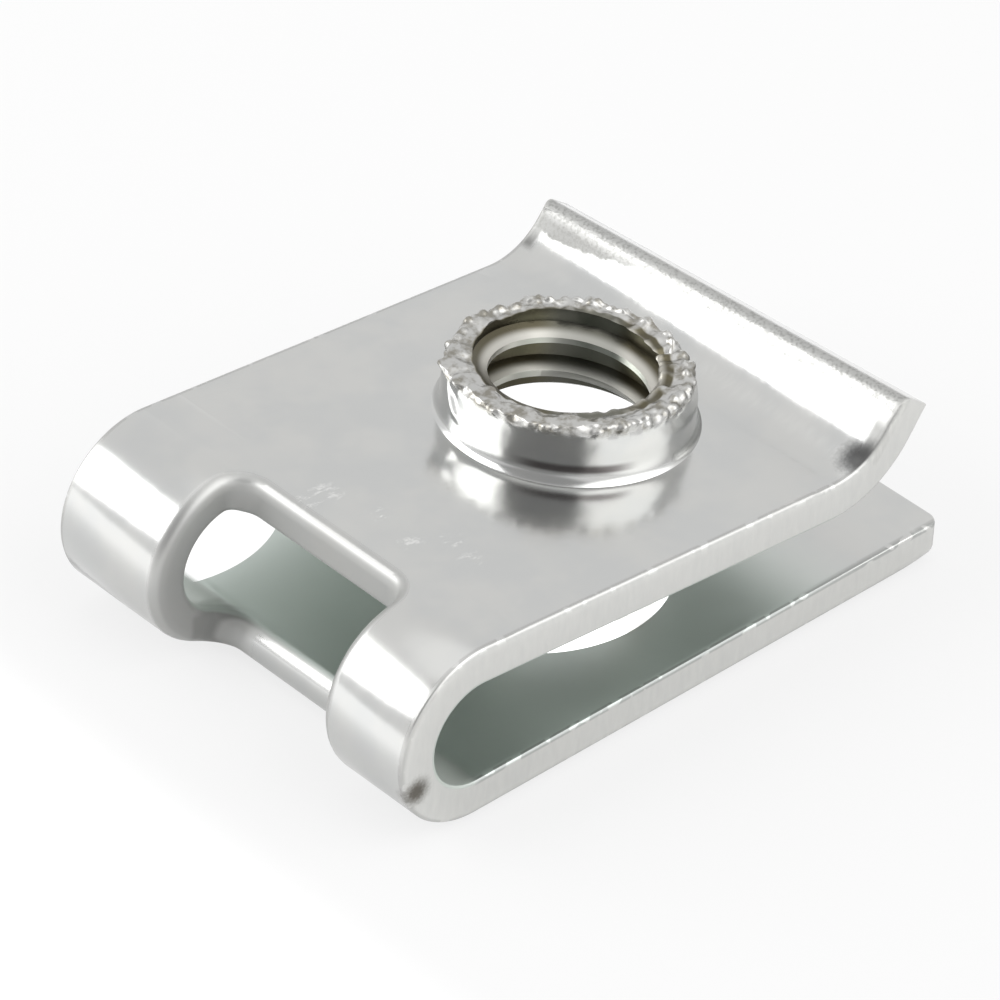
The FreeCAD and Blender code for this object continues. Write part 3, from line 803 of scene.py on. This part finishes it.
rough = cloud.step(0.3, 0.7, 0.15, 0.2) + scratch * 0.08
rough = rough + scuffed * 0.25 + sheared * 0.14 + rim * 0.16 + bore * 0.12 + window_wall * 0.3
rough = rough + inside * 0.3 + low_face * 0.14 + strap * (0.06 + aside.step(2.2, 3.0) * 0.2)
rough = rough + dull_shaded_end * (1 - scuffed) * 0.2 + window_edge_shade * 0.26 + arris * 0.1
rough = rough * (1 - painted_highlight_discs) + painted_highlight_discs * 0.02
rough.into(metal, "Roughness")

# One painted highlight disc glows faintly along its near edge, a painted glow.
glint = low_face * near_highlight_disc * y_mm.fall(-4.8, -4.6)
glint.blend((0, 0, 0), (1, 1, 1)).into(metal, "Emission Color")
metal.inputs["Emission Strength"].default_value = 1.0

relief = (cloud * 1.4 + grain(1.6, 2.0) * 0.25 + fine * 0.01) * (1 - low_inside)
relief = relief - scratch * 0.1 + scuffed * speck * 1.2 + sheared * shear_marks * 0.3
relief = relief + fold_line * grain(2.4, 3.0, 0.6, (0.5, 1, 0.5))
relief = relief + rim * speck * 0.3 + shaded_groove * speck * 0.4
bump = spot.add("ShaderNodeBump", {}, {"Height": relief, "Distance": 0.00001, "Strength": 1.0})
bump.into(metal, "Normal")
strip.data.materials.clear()
strip.data.materials.append(zinc)
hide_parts("clip_nut")
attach(strip, "root")

# Floor and backdrop
# A plain white table top under the clip. The camera and the
# metal see it brighter than it is lit, and the left of it brightest.
bpy.ops.object.select_all(action="DESELECT")
bpy.ops.mesh.primitive_plane_add(size=3.0, location=(0, 0, -0.0002))
floor = bpy.context.active_object
floor.name = "floor"
paper = bpy.data.materials.new("white_paper")
paper.use_nodes = True
tree = paper.node_tree
paint = tree.nodes["Principled BSDF"]
paint.inputs["Base Color"].default_value = (0.85, 0.85, 0.85, 1)
paint.inputs["Roughness"].default_value = 0.9
glow = tree.nodes.new("ShaderNodeEmission")
rays = tree.nodes.new("ShaderNodeLightPath")
mix = tree.nodes.new("ShaderNodeMixShader")
by_camera = Link(tree, rays.outputs["Is Camera Ray"])
by_gloss = Link(tree, rays.outputs["Is Glossy Ray"])
table = Link(tree, tree.nodes.new("ShaderNodeTexCoord").outputs["Object"])
to_left = table.add(
    "ShaderNodeVectorMath", {"operation": "DOT_PRODUCT"}, {0: table, 1: (-1, 0, 0)}, "Value",
)
to_left.step(0.016, 0.028, 0.9, 2.0).into(glow, "Color")
(by_camera * 0.85).most(by_gloss * 0.5).into(mix, "Fac")
tree.links.new(paint.outputs[0], mix.inputs[1])
tree.links.new(glow.outputs[0], mix.inputs[2])
tree.links.new(mix.outputs[0], tree.nodes["Material Output"].inputs["Surface"])
floor.data.materials.append(paper)

# Studio light
# One large soft box on the left, in a white room that is brighter on the right
# and overhead, and dimmer behind the camera.
BOX_ACROSS = 0.45
BOX_TALL = 0.27
BOX_DISTANCE = 0.45
BOX_POWER = 1.5

scene = bpy.context.scene
scene.view_settings.view_transform = "Standard"
world = bpy.data.worlds.new("room")
scene.world = world
world.use_nodes = True
tree = world.node_tree
room = tree.nodes["Background"]
room.inputs["Color"].default_value = (1, 1, 1, 1)
direction = Link(tree, tree.nodes.new("ShaderNodeTexCoord").outputs["Generated"])


def facing(x, y, z, wide, narrow):
    """1 towards that direction, falling to 0 between the two angles from it."""
    aim = Vector((x, y, z)).normalized()
    along_aim = direction.add(
        "ShaderNodeVectorMath", {"operation": "DOT_PRODUCT"}, {0: direction, 1: aim}, "Value",
    )
    return along_aim.step(math.cos(math.radians(wide)), math.cos(math.radians(narrow)))


level = 1.08 + facing(0.29, -0.75, 0.6, 38, 26) * 1.9 + facing(0, 0, 1, 36, 20) * 0.3
level = level - facing(-0.72, -0.35, 0.6, 44, 30) * 0.6
level.into(room, "Strength")

box_aim = Vector((-0.64, 0.57, 0.5)).normalized()
box_side = Vector((0.59, 0, 0.81)).cross(box_aim).normalized()
box_top = box_aim.cross(box_side).normalized()
box_light = bpy.data.lights.new("key_box", "AREA")
box_light.shape = "RECTANGLE"
box_light.size = BOX_ACROSS
box_light.size_y = BOX_TALL
box_light.energy = BOX_POWER
soft_box = bpy.data.objects.new("key_box", box_light)
box_place = Matrix((box_side, box_top, box_aim)).transposed().to_4x4()
box_place.translation = box_aim * BOX_DISTANCE
soft_box.matrix_world = box_place
scene.collection.objects.link(soft_box)
